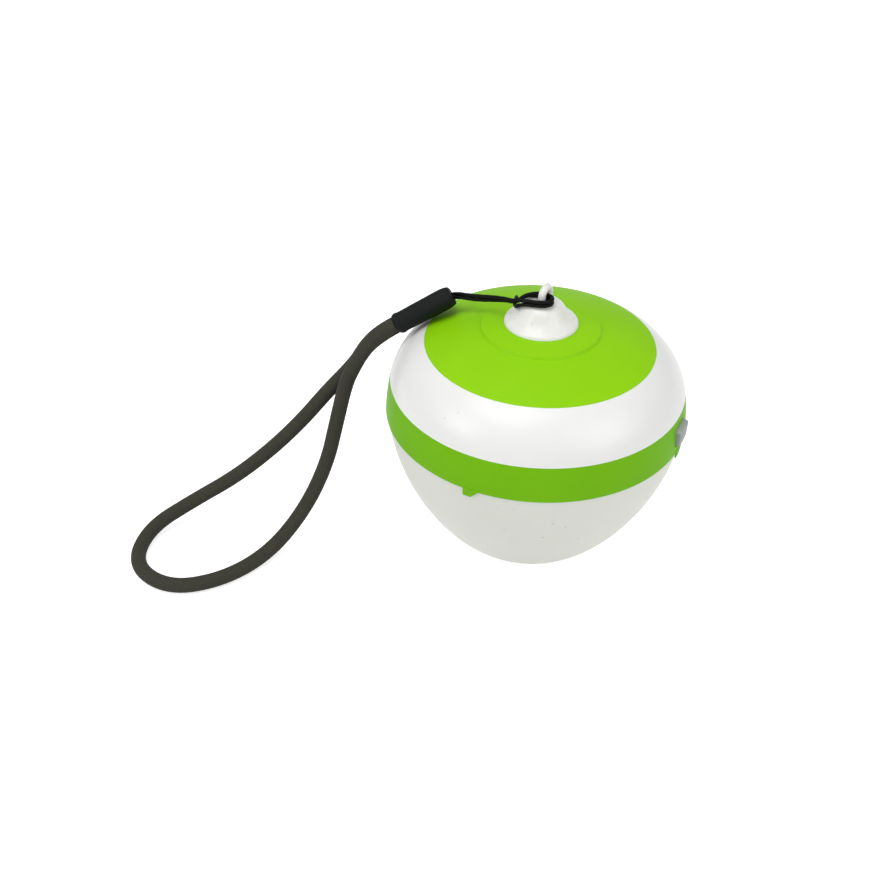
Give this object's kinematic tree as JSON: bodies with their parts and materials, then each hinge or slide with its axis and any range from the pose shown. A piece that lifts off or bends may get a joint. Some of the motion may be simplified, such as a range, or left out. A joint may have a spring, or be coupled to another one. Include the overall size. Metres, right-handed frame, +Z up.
{
  "type": "floating pool light",
  "caption": "Floating pool light: frosted bowl that twists off, banded white shell, domed cap with a hanging eyelet, side push switch and a wrist lanyard.",
  "frame": {"origin": "centre of the flat foot under the diffuser", "axes": "+Z up along the lamp axis, +X towards the side switch, -Y towards an index tab of the band"},
  "size_m": [0.1655, 0.1359, 0.0973],
  "materials": {
    "frosted": "satin",
    "shell_white": "gloss",
    "boss_white": "gloss",
    "inner_white": "matte",
    "band_green": "satin",
    "cap_green": "satin",
    "seal": "matte",
    "steel": "satin",
    "inner_black": "matte",
    "cell": "gloss",
    "contact": "gloss",
    "board_white": "satin",
    "led": "gloss",
    "board_green": "satin",
    "chip": "matte",
    "switch_grey": "matte",
    "lead_red": "satin",
    "lead_black": "satin",
    "lead_white": "satin",
    "sleeve": "matte",
    "loop_cord": "matte",
    "string": "satin"
  },
  "bodies": {
    "lamp_body": {"body_ring": "band_green", "upper_shell": "shell_white", "top_cap": "cap_green", "hanging_boss": "boss_white", "boss_seal": "seal", "boss_washer": "steel", "boss_screw": "steel", "chassis": "inner_white", "chassis_screws": "steel", "battery_tray": "inner_black", "battery_door": "inner_white", "door_screws": "steel", "battery_cell_a": "cell", "battery_cell_b": "cell", "battery_cell_c": "cell", "contact_plates": "contact", "contact_springs": "contact", "led_board": "board_white", "leds": "led", "driver_board": "board_green", "driver_chip": "chip", "driver_coil": "chip", "switch_board": "board_green", "tact_switch": "chip", "battery_lead_red": "lead_red", "battery_lead_black": "lead_black", "switch_leads": "lead_white", "light_leads": "lead_white", "lanyard_sleeve": "sleeve", "lanyard_loop": "loop_cord", "lanyard_string": "string"},
    "diffuser_unit": {"diffuser": "frosted", "diffuser_collar": "inner_white", "diffuser_o_ring": "seal"},
    "button": {"switch_button": "switch_grey"},
    "stem": {"switch_stem": "chip"}
  },
  "joints": [
    {"name": "diffuser_twist", "type": "hinge", "parent": "lamp_body", "child": "diffuser_unit", "pos_m": [0, 0, 0.055], "axis": [0, 0, 1], "range_deg": [0, 30]},
    {"name": "switch_press", "type": "slide", "parent": "lamp_body", "child": "button", "axis": [-1, 0, 0], "range_m": [0, 0.001], "stiffness_N_per_m": 900},
    {"name": "stem_travel", "type": "slide", "parent": "lamp_body", "child": "stem", "axis": [-1, 0, 0], "range_m": [0, 0.0003]}
  ],
  "couplings": [
    {"joint": "stem_travel", "follows": "switch_press", "ratio": 0.3}
  ]
}
